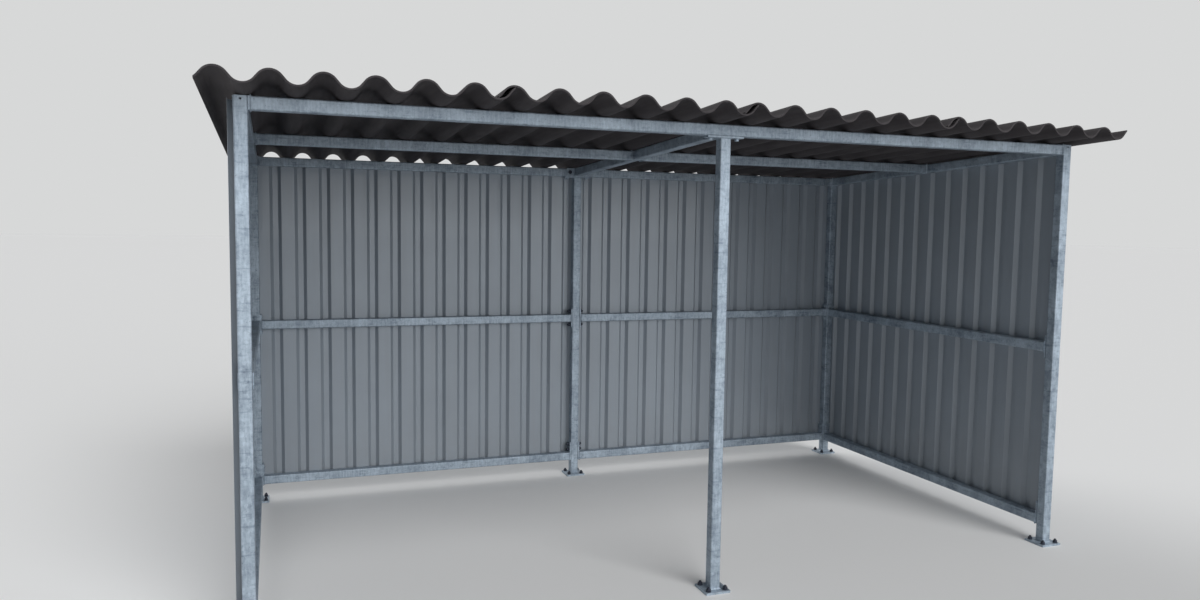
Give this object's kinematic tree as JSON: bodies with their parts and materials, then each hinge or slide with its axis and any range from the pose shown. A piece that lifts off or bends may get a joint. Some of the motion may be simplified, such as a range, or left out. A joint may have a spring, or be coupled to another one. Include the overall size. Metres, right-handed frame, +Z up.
{
  "type": "bike shelter",
  "caption": "Open-fronted bike shelter with a square tube frame, ribbed steel walls on the back and sides, and a corrugated lean-to roof.",
  "frame": {"origin": "on the ground under the middle of the roof", "axes": "+X along the open front to the right, seen from the front, +Y from the front to the back wall, +Z up"},
  "size_m": [4.196, 2.4405, 2.1578],
  "materials": {
    "galvanised_steel": "hot-dip galvanised, mottled",
    "wall_sheet": "light grey coated steel, low sheen",
    "roof_sheet": "dark grey fibre cement, matt"
  },
  "bodies": {
    "root": {"front_post_left": "galvanised_steel", "back_post_left": "galvanised_steel", "rafter_left": "galvanised_steel", "front_post_middle": "galvanised_steel", "back_post_middle": "galvanised_steel", "rafter_middle": "galvanised_steel", "front_post_right": "galvanised_steel", "back_post_right": "galvanised_steel", "rafter_right": "galvanised_steel", "front_beam": "galvanised_steel", "back_beam": "galvanised_steel", "purlin_left": "galvanised_steel", "back_middle_rail_left": "galvanised_steel", "back_bottom_rail_left": "galvanised_steel", "side_middle_rail_left": "galvanised_steel", "side_bottom_rail_left": "galvanised_steel", "purlin_right": "galvanised_steel", "back_middle_rail_right": "galvanised_steel", "back_bottom_rail_right": "galvanised_steel", "side_middle_rail_right": "galvanised_steel", "side_bottom_rail_right": "galvanised_steel", "roof_sheet_1": "roof_sheet", "roof_sheet_2": "roof_sheet", "roof_sheet_3": "roof_sheet", "roof_sheet_4": "roof_sheet", "back_wall_sheet_1": "wall_sheet", "back_wall_sheet_2": "wall_sheet", "back_wall_sheet_3": "wall_sheet", "back_wall_sheet_4": "wall_sheet", "left_wall_sheet_1": "wall_sheet", "left_wall_sheet_2": "wall_sheet", "right_wall_sheet_1": "wall_sheet", "right_wall_sheet_2": "wall_sheet"}
  },
  "joints": []
}
